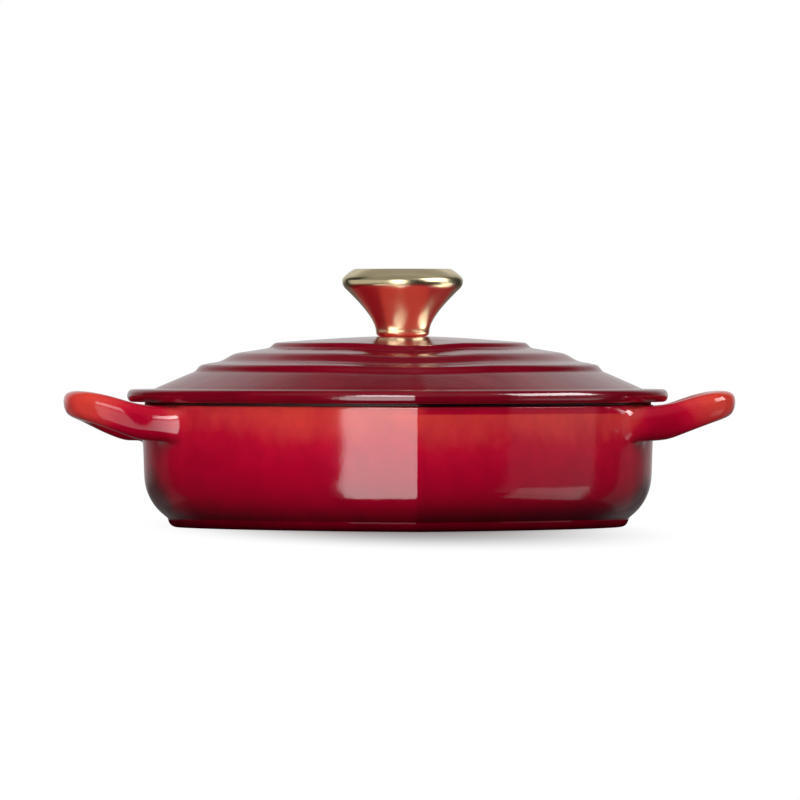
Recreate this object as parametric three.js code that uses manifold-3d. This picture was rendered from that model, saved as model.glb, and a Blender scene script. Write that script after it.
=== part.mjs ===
import * as THREE from 'three';
import { mergeVertices } from 'three/addons/utils/BufferGeometryUtils.js';
import Module from 'manifold-3d';

// Heart-shaped shallow casserole: an enamelled iron pot with two loop handles, and a stepped lid with a knob.
// Millimetres, +Z up. The heart's tip points to -Y and the handles to +X and -X. The foot stands on Z = 0.

// Plan of the lid's rim. Every other contour is this heart, scaled about the knob's axis.
const LID_WIDTH = 257.8;
const LID_DEPTH = 246;
const LOBE_RADIUS = 74;
const FLANK_RADIUS = 244;
const TIP_RADIUS = 11;
const CLEFT_RADIUS = 17;
const KNOB_FROM_TIP = 135;

// Pot
const POT_HEIGHT = 59.6;
const LID_OVERHANG = 7;
const WALL = 4.7;
const WALL_DRAFT = 1.4;
const CORNER_RADIUS = 24;
const FOOT_INSET = 12.3;
const FOOT_HEIGHT = 4.6;
const FOOT_WIDTH = 10;
const FOOT_ROUND = 1.8;
const FOOT_RECESS = 0.8;
const BASE_THICKNESS = 4.8;
const LAND_HEIGHT = 2;
const LAND_INSET = 1.6;
const SHOULDER_ROUND = 1.5;

// Loop handles
const HANDLE_REACH = 38;
const HANDLE_SPAN = 64;
const HANDLE_BEHIND_KNOB = 22;
const HANDLE_CORNER = 22;
const HANDLE_WIDTH = 15;
const HANDLE_ROOT_WIDTH = 21;
const HANDLE_END_HEIGHT = 11.8;
const HANDLE_ROOT_HEIGHT = 16.5;
const HANDLE_ROOT_DROP = 10.5;
const HANDLE_RISE = 10;
const HANDLE_SQUARENESS = 0.7;

// Lid: insets are measured from the rim's edge, heights from the face that rests on the pot
const LID_WALL = 4.2;
const RIM_HEIGHT = 5.6;
const RIM_ROUND = 2.6;
const RIM_WIDTH = 12;
const SKIRT_FILLET = 2.1;
const SKIRT_RISE = 6.6;
const LOWER_EDGE = { inset: 35.4, height: 16.5, run: 7, rise: 4.2 };
const MIDDLE_EDGE = { inset: 54.6, height: 22.5, run: 9.7, rise: 4.4 };
const UPPER_EDGE = { inset: 70, height: 26.8, run: 6.6, rise: 3.5 };
const RISER_CURL = 0.55;
const CROWN_HEIGHT = 30.4;
const CROWN_CURVE = 1.5;
const CROWN_RINGS = [{ share: 0.33, roundness: 0.6 }, { share: 0.67, roundness: 0.2 }];
const TIP_FALL = 2;
const RIB_DEPTH = 4;
const RIB_WIDTH = 3.4;
const RIB_CLEARANCE = 1.3;

// Knob and its fixing
const KNOB_DIAMETER = 57;
const KNOB_HEIGHT = 30.9;
const KNOB_WIDEST_HEIGHT = 25.6;
const KNOB_FLARE_DIAMETER = 51;
const KNOB_FLARE_HEIGHT = 20.7;
const KNOB_FLARE_CURL = 9.3;
const KNOB_NECK_DIAMETER = 25.2;
const KNOB_NECK_CURL = 5.2;
const KNOB_FOOT_DIAMETER = 19;
const KNOB_WALL = 2;
const KNOB_BASE = 2.5;
const KNOB_BORE_DEPTH = 8.4;
const CAP_DIAMETER = 44;
const CAP_THICKNESS = 2;
const CAP_CROWN = 0.4;
const CAP_LEDGE = 1.5;
const GASKET_THICKNESS = 0.6;
const GASKET_DIAMETER = 20;
const INSERT_DIAMETER = 15;
const INSERT_LENGTH = 14;
const SCREW_DIAMETER = 6;
const SCREW_HEAD_DIAMETER = 13;
const SCREW_HEAD_HEIGHT = 4;
const SCREW_HEAD_ROUND = 2;
const SCREW_POINT = 0.9;
const SCREW_GRIP = 12;
const SLOT_WIDTH = 1.6;
const SLOT_DEPTH = 1.5;
const WASHER_DIAMETER = 15;
const WASHER_THICKNESS = 1;
const SCREW_CLEARANCE = 0.4;
const FIT_GAP = 0.25;

// Facets
const TIP_FACETS = 3;
const FLANK_FACETS = 8;
const LOBE_FACETS = 15;
const CLEFT_FACETS = 3;
const ROUND_FACETS = 40;
const BAR_FACETS = 12;
const BEND_FACETS = 5;
const CORNER_FACETS = 5;
const RISER_FACETS = 4;
const RISER_UNDER_FACETS = 2;
const RIM_FACETS = 2;
const FLARE_FACETS = 7;
const BELLY_FACETS = 3;
const SHOULDER_FACETS = 4;

const wasm = await Module();
wasm.setup();

const lidHalf = LID_WIDTH / 2;
const knobY = KNOB_FROM_TIP - LID_DEPTH / 2;

// The heart is a chain of tangent arcs: tip, flank, lobe and cleft, drawn for +X and mirrored.
function heartOutline() {
  const lobe = new THREE.Vector2(lidHalf - LOBE_RADIUS, LID_DEPTH / 2 - LOBE_RADIUS);
  const tip = new THREE.Vector2(0, TIP_RADIUS - LID_DEPTH / 2);
  const cleftReach = LOBE_RADIUS + CLEFT_RADIUS;
  const cleft = new THREE.Vector2(0, lobe.y + Math.sqrt(cleftReach ** 2 - lobe.x ** 2));
  const tipToLobe = lobe.clone().sub(tip);
  const span = tipToLobe.length();
  const fromTip = FLANK_RADIUS - TIP_RADIUS;
  const fromLobe = FLANK_RADIUS - LOBE_RADIUS;
  const along = (fromTip ** 2 - fromLobe ** 2 + span ** 2) / (2 * span);
  const across = Math.sqrt(fromTip ** 2 - along ** 2);
  const unit = tipToLobe.divideScalar(span);
  const flank = new THREE.Vector2(
    tip.x + along * unit.x - across * unit.y,
    tip.y + along * unit.y + across * unit.x,
  );
  const tipAngle = Math.atan2(tip.y - flank.y, tip.x - flank.x);
  const lobeAngle = Math.atan2(lobe.y - flank.y, lobe.x - flank.x);
  const cleftAngle = Math.atan2(cleft.y - lobe.y, cleft.x - lobe.x);
  const half = [
    arc(tip, TIP_RADIUS, -Math.PI / 2, tipAngle, TIP_FACETS),
    arc(flank, FLANK_RADIUS, tipAngle, lobeAngle, FLANK_FACETS),
    arc(lobe, LOBE_RADIUS, lobeAngle, cleftAngle, LOBE_FACETS),
    arc(cleft, CLEFT_RADIUS, cleftAngle - Math.PI, -Math.PI / 2, CLEFT_FACETS),
  ].flatMap((points, index) => (index ? points.slice(1) : points));
  const mirrored = half.slice(1, -1).reverse().map((point) => new THREE.Vector2(-point.x, point.y));
  return [...half, ...mirrored].map((point) => new THREE.Vector2(point.x, point.y - knobY));
}

function arc(centre, radius, start, end, facets) {
  const isClockwise = end < start;
  const curve = new THREE.EllipseCurve(centre.x, centre.y, radius, radius, start, end, isClockwise);
  return curve.getPoints(facets);
}

const heart = heartOutline();

function heartRing(halfWidth, height) {
  const scale = halfWidth / lidHalf;
  return heart.map((point) => new THREE.Vector3(point.x * scale, point.y * scale, height));
}

function roundRing(radius, height) {
  return heart.map((point) => {
    const reach = radius / point.length();
    return new THREE.Vector3(point.x * reach, point.y * reach, height);
  });
}

function betweenRing(halfWidth, roundness, height) {
  const hearts = heartRing(halfWidth, height);
  return roundRing(halfWidth, height).map((point, index) => hearts[index].clone().lerp(point, roundness));
}

function arcProfile(centreX, centreZ, radius, start, end, facets) {
  const centre = new THREE.Vector2(centreX, centreZ);
  return arc(centre, radius, start, end, facets).map((point) => [point.x, point.y]);
}

// Skins a chain of rings. An open chain is closed by a point at each end, a closed one returns to its start.
function skin(rings, isClosed) {
  const count = rings[0].length;
  const positions = [];
  const triangles = [];
  for (const ring of rings) {
    for (const point of ring) {
      positions.push(point.x, point.y, point.z);
    }
  }
  const strips = isClosed ? rings.length : rings.length - 1;
  for (let strip = 0; strip < strips; strip++) {
    const first = strip * count;
    const second = ((strip + 1) % rings.length) * count;
    for (let index = 0; index < count; index++) {
      const next = (index + 1) % count;
      triangles.push(first + index, first + next, second + next);
      triangles.push(first + index, second + next, second + index);
    }
  }
  if (!isClosed) {
    closeEnd(rings[0], 0, positions, triangles, false);
    closeEnd(rings.at(-1), (rings.length - 1) * count, positions, triangles, true);
  }
  const geometry = new THREE.BufferGeometry();
  geometry.setAttribute('position', new THREE.Float32BufferAttribute(positions, 3));
  geometry.setIndex(triangles);
  return geometry;
}

function closeEnd(ring, start, positions, triangles, isLast) {
  const centre = new THREE.Vector3();
  ring.forEach((point) => centre.add(point));
  centre.divideScalar(ring.length);
  const middle = positions.length / 3;
  positions.push(centre.x, centre.y, centre.z);
  ring.forEach((point, index) => {
    const next = (index + 1) % ring.length;
    const pair = isLast ? [start + index, start + next] : [start + next, start + index];
    triangles.push(middle, ...pair);
  });
}

function toSolid(geometry) {
  const bare = geometry.clone();
  bare.deleteAttribute('normal');
  bare.deleteAttribute('uv');
  const merged = mergeVertices(bare);
  const vertProperties = Float32Array.from(merged.attributes.position.array);
  const triVerts = Uint32Array.from(merged.index.array);
  return new wasm.Manifold(new wasm.Mesh({ numProp: 3, vertProperties, triVerts }));
}

function toGeometry(solid) {
  const mesh = solid.getMesh();
  const geometry = new THREE.BufferGeometry();
  geometry.setAttribute('position', new THREE.Float32BufferAttribute(mesh.vertProperties, 3));
  geometry.setIndex(Array.from(mesh.triVerts));
  return geometry;
}

// Turns a profile of [radius, height] pairs, listed up the outside and down the inside, about the knob's axis
function turned(profile) {
  const points = profile.map(([radius, height]) => new THREE.Vector2(radius, height));
  const touchesAxis = profile[0][0] === 0;
  if (!touchesAxis) {
    points.push(points[0].clone());
  }
  const geometry = new THREE.LatheGeometry(points, ROUND_FACETS);
  geometry.rotateX(Math.PI / 2);
  return geometry;
}

// Pot
const potHalf = lidHalf - LID_OVERHANG;
const innerHalf = potHalf - WALL;
const footHalf = potHalf - FOOT_INSET;
const floorHeight = FOOT_RECESS + BASE_THICKNESS;
const landFoot = POT_HEIGHT - LAND_HEIGHT;
const landHalf = potHalf - LAND_INSET;

function potProfile() {
  const lowHalf = potHalf - WALL_DRAFT;
  const outerX = lowHalf - CORNER_RADIUS;
  const cornerEnd = -Math.acos((footHalf - outerX) / CORNER_RADIUS);
  const outerZ = FOOT_HEIGHT - CORNER_RADIUS * Math.sin(cornerEnd);
  const innerRadius = CORNER_RADIUS - WALL;
  const innerX = lowHalf - WALL - innerRadius;
  const innerZ = floorHeight + innerRadius;
  const footFlat = footHalf - FOOT_ROUND;
  const shoulderX = potHalf - SHOULDER_ROUND;
  const shoulderZ = landFoot - SHOULDER_ROUND;
  return [
    [footHalf - FOOT_WIDTH - FOOT_RECESS, FOOT_RECESS],
    [footHalf - FOOT_WIDTH, 0],
    ...arcProfile(footFlat, FOOT_ROUND, FOOT_ROUND, -Math.PI / 2, 0, 2),
    ...arcProfile(outerX, outerZ, CORNER_RADIUS, cornerEnd, 0, CORNER_FACETS),
    ...arcProfile(shoulderX, shoulderZ, SHOULDER_ROUND, 0, Math.PI / 2, 2),
    [landHalf, landFoot],
    [landHalf, POT_HEIGHT],
    [innerHalf, POT_HEIGHT],
    ...arcProfile(innerX, innerZ, innerRadius, 0, -Math.PI / 2, CORNER_FACETS),
  ];
}

// Half-width of the pot's outer wall at a distance in front of or behind the knob's axis
function wallAt(y) {
  const ring = heartRing(potHalf, 0);
  let reach = 0;
  ring.forEach((start, index) => {
    const end = ring[(index + 1) % ring.length];
    if ((start.y - y) * (end.y - y) <= 0 && start.y !== end.y) {
      const share = (y - start.y) / (end.y - start.y);
      reach = Math.max(reach, start.x + share * (end.x - start.x));
    }
  });
  return reach;
}

// One loop handle: a rounded bar swept out of the wall, round two corners and back, rising outwards
function handle(side) {
  const barX = potHalf + HANDLE_REACH - HANDLE_WIDTH / 2;
  const frontY = HANDLE_BEHIND_KNOB - HANDLE_SPAN / 2;
  const backY = HANDLE_BEHIND_KNOB + HANDLE_SPAN / 2;
  const rootDepth = WALL / 2;
  const flareLength = HANDLE_ROOT_WIDTH - HANDLE_WIDTH;
  const corner = Math.min(HANDLE_CORNER, HANDLE_SPAN / 2, barX - potHalf - flareLength);
  const frontX = wallAt(frontY);
  const backX = wallAt(backY);
  const frontCorner = new THREE.Vector2(barX - corner, frontY + corner);
  const backCorner = new THREE.Vector2(barX - corner, backY - corner);
  const line = [
    new THREE.Vector2(frontX - rootDepth, frontY),
    new THREE.Vector2(frontX, frontY),
    new THREE.Vector2(frontX + flareLength / 2, frontY),
    new THREE.Vector2(frontX + flareLength, frontY),
    ...arc(frontCorner, corner, -Math.PI / 2, 0, BEND_FACETS),
    ...arc(backCorner, corner, 0, Math.PI / 2, BEND_FACETS),
    new THREE.Vector2(backX + flareLength, backY),
    new THREE.Vector2(backX + flareLength / 2, backY),
    new THREE.Vector2(backX, backY),
    new THREE.Vector2(backX - rootDepth, backY),
  ];
  const rings = line.map((point, index) => {
    const before = line[Math.max(index - 1, 0)];
    const after = line[Math.min(index + 1, line.length - 1)];
    const ahead = after.clone().sub(before).normalize();
    const rootY = point.y < HANDLE_BEHIND_KNOB ? frontY : backY;
    return handleRing(point, ahead, rootY, flareLength);
  });
  const geometry = skin(rings, false);
  if (side < 0) {
    geometry.scale(-1, 1, 1);
    geometry.index.array.reverse();
  }
  return geometry;
}

// Cross-section of the bar: a rounded rectangle, taller and wider at its root, which follows the wall's slope
function handleRing(point, ahead, rootY, flareLength) {
  const rootX = wallAt(rootY);
  const out = THREE.MathUtils.clamp((point.x - potHalf) / HANDLE_REACH, 0, 1);
  const fromRoot = THREE.MathUtils.clamp((point.x - rootX) / flareLength, 0, 1);
  const width = THREE.MathUtils.lerp(HANDLE_ROOT_WIDTH, HANDLE_WIDTH, Math.sqrt(fromRoot));
  const height = THREE.MathUtils.lerp(HANDLE_ROOT_HEIGHT, HANDLE_END_HEIGHT, out);
  const rise = HANDLE_RISE * THREE.MathUtils.smoothstep(out, 0, 1);
  const middle = POT_HEIGHT - HANDLE_ROOT_DROP + rise;
  const ring = [];
  const squared = (value) => Math.sign(value) * Math.abs(value) ** HANDLE_SQUARENESS;
  for (let step = 0; step < BAR_FACETS; step++) {
    const angle = (step / BAR_FACETS) * 2 * Math.PI;
    const aside = (squared(Math.cos(angle)) * width) / 2;
    const up = (squared(Math.sin(angle)) * height) / 2;
    const y = point.y + ahead.x * aside;
    const slope = fromRoot < 1 ? (1 - fromRoot) * (wallAt(y) - rootX) : 0;
    ring.push(new THREE.Vector3(point.x - ahead.y * aside + slope, y, middle + up));
  }
  return ring;
}

function potBody() {
  const rings = potProfile().map(([halfWidth, height]) => heartRing(halfWidth, height));
  const shell = toSolid(skin(rings, false));
  return toGeometry(shell.add(toSolid(handle(1))).add(toSolid(handle(-1))));
}

// Lid
const seatHeight = POT_HEIGHT + FIT_GAP;
const crownHeight = seatHeight + CROWN_HEIGHT;
const crownUnder = crownHeight - LID_WALL;
const screwHole = SCREW_DIAMETER / 2 + SCREW_CLEARANCE;
const crownRadius = KNOB_NECK_DIAMETER / 2;

// The steps sink a little towards the tip of the heart, most on the inner ones and not at all on the rim
function sinkToTip(ring, halfWidth) {
  const plateau = lidHalf - UPPER_EDGE.inset;
  const inner = THREE.MathUtils.smoothstep(halfWidth, crownRadius, plateau);
  const outer = 1 - THREE.MathUtils.smoothstep(halfWidth, lidHalf - MIDDLE_EDGE.inset, lidHalf - RIM_WIDTH);
  ring.forEach((point, index) => {
    const forward = Math.max(0, -heart[index].y) / KNOB_FROM_TIP;
    point.z -= TIP_FALL * inner * outer * forward;
  });
  return ring;
}

// A riser's S-shaped section, from its foot to its edge
function riser(edge, facets) {
  const edgeHalf = lidHalf - edge.inset;
  const footHalfWidth = edgeHalf + edge.run;
  const edgeTop = seatHeight + edge.height;
  const pull = edge.run * RISER_CURL;
  const curve = new THREE.CubicBezierCurve(
    new THREE.Vector2(footHalfWidth, edgeTop - edge.rise),
    new THREE.Vector2(footHalfWidth - pull, edgeTop - edge.rise),
    new THREE.Vector2(edgeHalf + pull, edgeTop),
    new THREE.Vector2(edgeHalf, edgeTop),
  );
  return curve.getPoints(facets).map((point) => [point.x, point.y]);
}

function lidBody() {
  const risers = (facets) => [LOWER_EDGE, MIDDLE_EDGE, UPPER_EDGE].flatMap((edge) => riser(edge, facets));
  const plateau = lidHalf - UPPER_EDGE.inset;
  const plateauHeight = seatHeight + UPPER_EDGE.height;
  const crownRing = ({ share, roundness }, drop) => {
    const halfWidth = THREE.MathUtils.lerp(crownRadius, plateau, share);
    const height = THREE.MathUtils.lerp(crownHeight, plateauHeight, share ** CROWN_CURVE) - drop;
    return sinkToTip(betweenRing(halfWidth, roundness, height), halfWidth);
  };
  const ribOuter = innerHalf - RIB_CLEARANCE;
  const ribInner = ribOuter - RIB_WIDTH;
  const ribFoot = seatHeight - RIB_DEPTH;
  const rimTop = seatHeight + RIM_HEIGHT;
  const rimRound = (centreHeight, start, end) =>
    arcProfile(lidHalf - RIM_ROUND, centreHeight, RIM_ROUND, start, end, RIM_FACETS);
  const skirtUnder = seatHeight + SKIRT_RISE - LID_WALL;
  const top = [
    ...rimRound(seatHeight + RIM_ROUND, -Math.PI / 2, 0),
    ...rimRound(rimTop - RIM_ROUND, 0, Math.PI / 2),
    [lidHalf - RIM_WIDTH, rimTop],
    [lidHalf - RIM_WIDTH - SKIRT_FILLET, seatHeight + SKIRT_RISE],
    ...risers(RISER_FACETS),
  ];
  const stepShift = LID_WALL / 2;
  const under = [
    ...risers(RISER_UNDER_FACETS).map(([x, z]) => [x - stepShift, z - LID_WALL]).reverse(),
    [ribInner, skirtUnder],
    [ribInner, ribFoot],
    [ribOuter, ribFoot],
    [ribOuter, seatHeight],
  ];
  const sunkRing = ([halfWidth, height]) => sinkToTip(heartRing(halfWidth, height), halfWidth);
  const rings = [
    roundRing(screwHole, crownUnder),
    roundRing(crownRadius, crownUnder),
    ...CROWN_RINGS.map((ring) => crownRing(ring, LID_WALL)),
    ...under.map(sunkRing),
    ...top.map(sunkRing),
    ...CROWN_RINGS.map((ring) => crownRing(ring, 0)).reverse(),
    roundRing(crownRadius, crownHeight),
    roundRing(screwHole, crownHeight),
  ];
  return skin(rings, true);
}

// Knob and its fixing, stacked on the crown of the lid
const gasketFoot = crownHeight + FIT_GAP;
const knobFoot = gasketFoot + GASKET_THICKNESS + FIT_GAP;
const knobTop = knobFoot + KNOB_HEIGHT;
const insertFoot = knobFoot + KNOB_BASE + FIT_GAP;
const capFoot = knobTop - CAP_THICKNESS;
const washerFoot = crownUnder - FIT_GAP - WASHER_THICKNESS;
const headTop = washerFoot - FIT_GAP;

function knobShell() {
  const radius = KNOB_DIAMETER / 2;
  const neck = KNOB_NECK_DIAMETER / 2;
  const foot = KNOB_FOOT_DIAMETER / 2;
  const footRound = neck - foot;
  const widest = knobFoot + KNOB_WIDEST_HEIGHT;
  const capSeat = CAP_DIAMETER / 2 + FIT_GAP;
  const flareEnd = new THREE.Vector2(KNOB_FLARE_DIAMETER / 2, knobFoot + KNOB_FLARE_HEIGHT);
  const flareCurl = KNOB_FLARE_CURL * Math.SQRT1_2;
  const flare = new THREE.CubicBezierCurve(
    new THREE.Vector2(neck, knobFoot + footRound),
    new THREE.Vector2(neck, knobFoot + footRound + KNOB_NECK_CURL),
    new THREE.Vector2(flareEnd.x - flareCurl, flareEnd.y - flareCurl),
    flareEnd,
  ).getPoints(FLARE_FACETS);
  const belly = new THREE.QuadraticBezierCurve(
    flareEnd,
    new THREE.Vector2(radius, flareEnd.y + radius - flareEnd.x),
    new THREE.Vector2(radius, widest),
  ).getPoints(BELLY_FACETS);
  const shoulderRound = new THREE.QuadraticBezierCurve(
    new THREE.Vector2(radius, widest),
    new THREE.Vector2(radius, knobTop),
    new THREE.Vector2(capSeat, knobTop),
  ).getPoints(SHOULDER_FACETS);
  const outside = [...flare, ...belly.slice(1), ...shoulderRound.slice(1)].map((point) => [point.x, point.y]);
  const bore = INSERT_DIAMETER / 2 + FIT_GAP;
  const inside = [
    [capSeat, capFoot - FIT_GAP],
    [capSeat - CAP_LEDGE, capFoot - FIT_GAP],
    [capSeat - CAP_LEDGE, flareEnd.y + KNOB_WALL],
    [bore, knobFoot + KNOB_BASE + KNOB_BORE_DEPTH],
    [bore, knobFoot + KNOB_BASE],
    [screwHole, knobFoot + KNOB_BASE],
    [screwHole, knobFoot],
  ];
  return turned([[foot, knobFoot], ...outside, ...inside]);
}

function knobCap() {
  const radius = CAP_DIAMETER / 2;
  return turned([
    [0, capFoot],
    [radius, capFoot],
    [radius, knobTop - CAP_CROWN],
    [radius / 2, knobTop - CAP_CROWN / 4],
    [0, knobTop],
  ]);
}

// A ring round the screw
function sleeve(diameter, foot, length) {
  return turned([
    [diameter / 2, foot],
    [diameter / 2, foot + length],
    [screwHole, foot + length],
    [screwHole, foot],
  ]);
}

// Pan-head screw with a slot across its head, pointing up into the knob
function lidScrew() {
  const head = SCREW_HEAD_DIAMETER / 2;
  const shank = SCREW_DIAMETER / 2;
  const foot = headTop - SCREW_HEAD_HEIGHT;
  const end = insertFoot + SCREW_GRIP;
  const body = turned([
    [0, foot],
    [head - SCREW_HEAD_ROUND, foot],
    [head, foot + SCREW_HEAD_ROUND],
    [head, headTop],
    [shank, headTop],
    [shank, end - SCREW_POINT],
    [shank - SCREW_POINT, end],
    [0, end],
  ]);
  const slot = new THREE.BoxGeometry(2 * SCREW_HEAD_DIAMETER, SLOT_WIDTH, 2 * SLOT_DEPTH);
  slot.translate(0, 0, foot);
  return toGeometry(toSolid(body).subtract(toSolid(slot)));
}

const potEnamel = new THREE.MeshStandardMaterial({ color: 0xa8101f, roughness: 0.12, metalness: 0 });
const lidEnamel = new THREE.MeshStandardMaterial({ color: 0x860a20, roughness: 0.12, metalness: 0 });
const goldSteel = new THREE.MeshStandardMaterial({ color: 0xc79a4b, roughness: 0.22, metalness: 1 });
const plainSteel = new THREE.MeshStandardMaterial({ color: 0x9a9a9a, roughness: 0.35, metalness: 1 });
const darkSilicone = new THREE.MeshStandardMaterial({ color: 0x2a2523, roughness: 0.7, metalness: 0 });

function addPiece(group, name, geometry, material) {
  const mesh = new THREE.Mesh(geometry, material);
  mesh.name = name;
  group.add(mesh);
}

const casserole = new THREE.Group();
casserole.position.y = knobY;
addPiece(casserole, 'casserole_body', potBody(), potEnamel);
addPiece(casserole, 'lid', lidBody(), lidEnamel);
addPiece(casserole, 'knob_gasket', sleeve(GASKET_DIAMETER, gasketFoot, GASKET_THICKNESS), darkSilicone);
addPiece(casserole, 'knob_shell', knobShell(), goldSteel);
addPiece(casserole, 'knob_cap', knobCap(), goldSteel);
addPiece(casserole, 'knob_insert', sleeve(INSERT_DIAMETER, insertFoot, INSERT_LENGTH), plainSteel);
addPiece(casserole, 'screw_washer', sleeve(WASHER_DIAMETER, washerFoot, WASHER_THICKNESS), plainSteel);
addPiece(casserole, 'lid_screw', lidScrew(), plainSteel);

export default casserole;
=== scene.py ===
"""Looks of the heart-shaped casserole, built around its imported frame."""
import math

import bmesh
import bpy
from mathutils import Matrix, Vector
from mathutils.geometry import interpolate_bezier


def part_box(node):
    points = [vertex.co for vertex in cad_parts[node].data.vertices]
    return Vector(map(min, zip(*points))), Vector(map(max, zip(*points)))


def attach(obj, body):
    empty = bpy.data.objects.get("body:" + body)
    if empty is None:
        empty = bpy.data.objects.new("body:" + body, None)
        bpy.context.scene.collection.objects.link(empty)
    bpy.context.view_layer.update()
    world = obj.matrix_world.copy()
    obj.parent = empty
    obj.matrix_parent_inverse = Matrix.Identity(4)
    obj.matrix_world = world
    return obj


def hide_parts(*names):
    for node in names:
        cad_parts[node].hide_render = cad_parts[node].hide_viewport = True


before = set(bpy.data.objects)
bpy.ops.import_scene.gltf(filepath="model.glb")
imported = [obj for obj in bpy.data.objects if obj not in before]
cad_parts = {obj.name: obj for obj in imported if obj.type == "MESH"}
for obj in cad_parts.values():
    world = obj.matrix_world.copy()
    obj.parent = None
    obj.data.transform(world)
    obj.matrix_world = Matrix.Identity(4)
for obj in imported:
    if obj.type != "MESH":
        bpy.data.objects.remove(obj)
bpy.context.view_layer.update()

MM = 0.001
MERGE_DISTANCE = 0.001 * MM

# The heart that every contour of pot and lid is a smaller copy of: its four bends and their cage steps
LOBE_RADIUS = 74 * MM
FLANK_RADIUS = 244 * MM
LID_TIP_RADIUS = 11 * MM
POT_TIP_RADIUS = 5 * MM
CLEFT_RADIUS = 17 * MM
TIP_STEPS = 2
FLANK_STEPS = 11
ROOT_STEPS = 2
ROOT_GAP_STEPS = 2
LOBE_FRONT_STEPS = 3
LOBE_BACK_STEPS = 13
CLEFT_STEPS = 3
SMOOTHING_LEVELS = 2

# Pot, whose cage is larger than the wall that is smoothed from it
CAGE_SWELL = 1.0023
LID_OVERHANG = 7 * MM
WALL = 4.7 * MM
WALL_DRAFT = 1.4 * MM
CORNER_RADIUS = 24 * MM
CORNER_STEPS = 5
INNER_CORNER_STEPS = 6
INNER_EDGE_ROUND = 0.5 * MM
INNER_EDGE_DEPTH = 2 * MM
INNER_ROW_HEIGHT_SHARE = 0.72
INNER_ROW_DRAFT_SHARE = 0.3
BASE_THICKNESS = 4.8 * MM
BASE_RING_SHARES = (0.5, 0.85)
LAND_HEIGHT = 1.5 * MM
LAND_INSET = 1.6 * MM
LAND_FILLET = 0.3 * MM
LAND_FILLET_REACH = 0.05 * MM
LAND_ROUND = 0.35 * MM
SHOULDER_ROUND = 1.5 * MM
FOOT_INSET = 12.3 * MM
FOOT_HEIGHT = 4.6 * MM
FOOT_WIDTH = 10 * MM
FOOT_ROUND = 3.2 * MM
FOOT_RECESS = 0.8 * MM
FOOT_CREASE = 0.3 * MM
# Edges of the foot ring, in from its side and up from the table, in recess depths and in foot rounds
FOOT_INNER_EDGE = [(1.6, 1), (0.6, 0.9), (0, 0), (-1, 0)]
FOOT_OUTER_EDGE = [(1.9, 0), (1.0, 0), (0.3, 0.4), (0, 1.3)]
# The wall's shoulder, in from the wall and down from the foot of the land, in shoulder rounds
SHOULDER_EDGE = [(0.1, 0.15), (0.75, 0)]

# Handles
HANDLE_REACH = 37.5 * MM
HANDLE_SPAN = 64 * MM
HANDLE_BEHIND_KNOB = 22 * MM
HANDLE_BEND = 22 * MM
HANDLE_BEND_STEPS = 3
HANDLE_WIDTH = 15 * MM
HANDLE_ROOT_WIDTH = 21 * MM
HANDLE_ROOT_GAP = 0.9 * MM
HANDLE_LEAD = 6 * MM
HANDLE_TOP_LEAD = 2 * MM
HANDLE_FILLET = 6 * MM
HANDLE_SQUARENESS = 0.86
HANDLE_TILT = 1.0 * MM
HANDLE_SLOPE = 2
HANDLE_LOW_EASE = 1.2
# Stations near the wall, in fillets from it, with their share of the root's extra width
HANDLE_FRONT_ROOT = [(1, 0.45), (2.6, 0.1)]
HANDLE_BACK_ROOT = [(1, 0.5)]
# Heights from the pot's rim at root and end, and how far from wall and end an arm rises between them
HANDLE_TOP = {"root": -2.0 * MM, "end": 5.2 * MM, "start": 6 * MM, "stop": 9 * MM}
HANDLE_LOW = {"root": -18.6 * MM, "end": -7.0 * MM, "start": 14 * MM, "stop": 3 * MM}

# Lid
LID_WALL = 4.2 * MM
RIM_HEIGHT = 5.6 * MM
RIM_ROUND = 2.6 * MM
RIM_STEPS = 3
RIM_WIDTH = 12 * MM
RIM_RING_SHARE = 0.6
RIM_DRIP = 0.5 * MM
RIM_SLACK = 0.15 * MM
SKIRT_RISE = 6.6 * MM
SKIRT_ROUND = 0.3 * MM
# Foot of the skirt, in from the flat rim's inner edge and up from the rim's top
SKIRT_FOOT = [(-0.8 * MM, 0), (0.6 * MM, 0.1 * MM), (2.7 * MM, 1.15 * MM), (6.3 * MM, 2.68 * MM)]
STEP_EDGES = [
    {"inset": 35.9 * MM, "height": 17.4 * MM, "run": 5.8 * MM, "rise": 4.0 * MM},
    {"inset": 55.1 * MM, "height": 23.3 * MM, "run": 16.0 * MM, "rise": 5.2 * MM},
    {"inset": 70.4 * MM, "height": 27.8 * MM, "run": 5.0 * MM, "rise": 2.8 * MM},
]
STEP_CURL = 0.5
STEP_POINTS = 7
CROWN_CURVE = 1.3
CROWN_SHARES = [0.8, 0.6, 0.4, 0.2]
TIP_FALL = 1.4 * MM
TIP_FALL_START = 0.7
RIB_DEPTH = 4 * MM
RIB_WIDTH = 3.4 * MM
RIB_CLEARANCE = 1.3 * MM
RIB_ROUND = 0.6 * MM
RIB_FILLET = 0.4 * MM
FIT_GAP = 0.25 * MM
SEAL_GAP = 0.04 * MM
SCREW_HOLE = 3.4 * MM

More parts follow.
